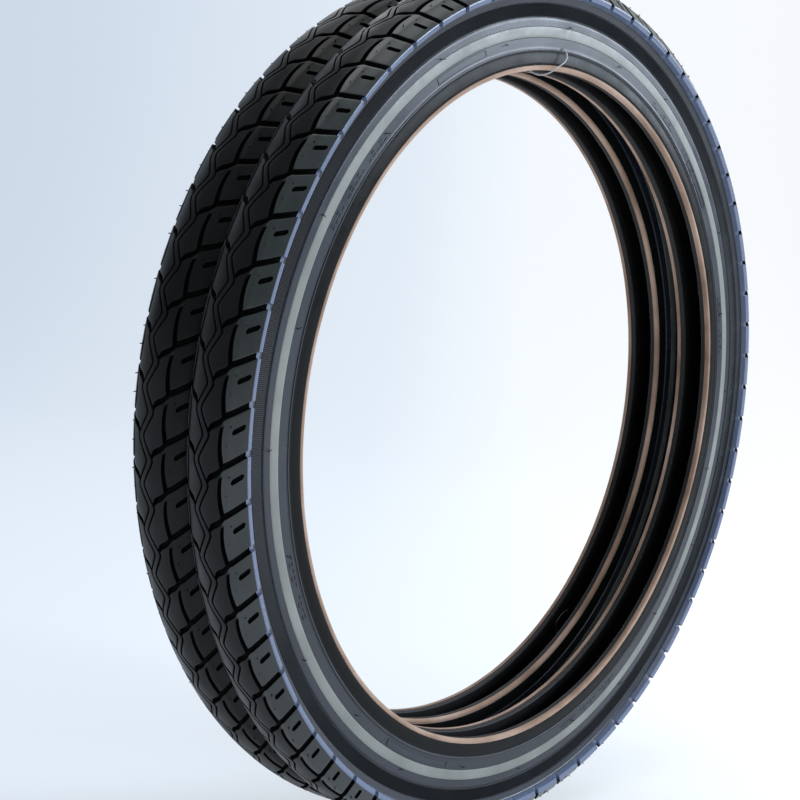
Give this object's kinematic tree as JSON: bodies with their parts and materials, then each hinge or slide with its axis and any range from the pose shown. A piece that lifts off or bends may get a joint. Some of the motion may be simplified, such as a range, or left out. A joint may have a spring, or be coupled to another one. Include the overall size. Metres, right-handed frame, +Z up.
{
  "type": "bicycle tyre pair",
  "caption": "Wired-on bicycle tyres standing side by side on one axis, block tread, light sidewall stripe, tan chafer strips round the beads.",
  "frame": {"origin": "centre of the pair: on the wheel axis, midway between the two tyres", "axes": "+Y along the wheel axis, from the near tyre to the far tyre; +Z up"},
  "size_m": [0.52, 0.0838, 0.52],
  "materials": {
    "tread_rubber": "matte moulded rubber",
    "sidewall_rubber": "satin moulded rubber",
    "stripe": "pale reflective tape",
    "chafer_cloth": "tan rubbered cloth",
    "nylon_ply": "dark rubbered nylon cords",
    "puncture_strip": "tough amber rubber",
    "liner_rubber": "thin smooth black rubber",
    "filler_rubber": "hard black rubber",
    "bead_steel": "bronze-coated steel wire",
    "nylon_cord": "clear nylon cord",
    "thread": "loose grey thread"
  },
  "bodies": {
    "near_tyre": {"near_tread": "tread_rubber", "near_puncture_strip": "puncture_strip", "near_outer_ply": "nylon_ply", "near_inner_ply": "nylon_ply", "near_liner": "liner_rubber", "near_sidewall_front": "sidewall_rubber", "near_sidewall_rear": "sidewall_rubber", "near_stripe_front": "stripe", "near_stripe_rear": "stripe", "near_filler_front": "filler_rubber", "near_filler_rear": "filler_rubber", "near_bead_wire_front": "bead_steel", "near_bead_wire_rear": "bead_steel", "near_chafer_front": "chafer_cloth", "near_chafer_rear": "chafer_cloth", "near_vent_hairs": "tread_rubber", "nylon_loop": "nylon_cord"},
    "far_tyre": {"far_tread": "tread_rubber", "far_puncture_strip": "puncture_strip", "far_outer_ply": "nylon_ply", "far_inner_ply": "nylon_ply", "far_liner": "liner_rubber", "far_sidewall_front": "sidewall_rubber", "far_sidewall_rear": "sidewall_rubber", "far_stripe_front": "stripe", "far_stripe_rear": "stripe", "far_filler_front": "filler_rubber", "far_filler_rear": "filler_rubber", "far_bead_wire_front": "bead_steel", "far_bead_wire_rear": "bead_steel", "far_chafer_front": "chafer_cloth", "far_chafer_rear": "chafer_cloth", "far_vent_hairs": "tread_rubber", "loose_thread": "thread"}
  },
  "joints": [
    {"name": "part_the_pair", "type": "slide", "parent": "near_tyre", "child": "far_tyre", "axis": [0, 1, 0], "range_m": [0, 0.12]}
  ]
}
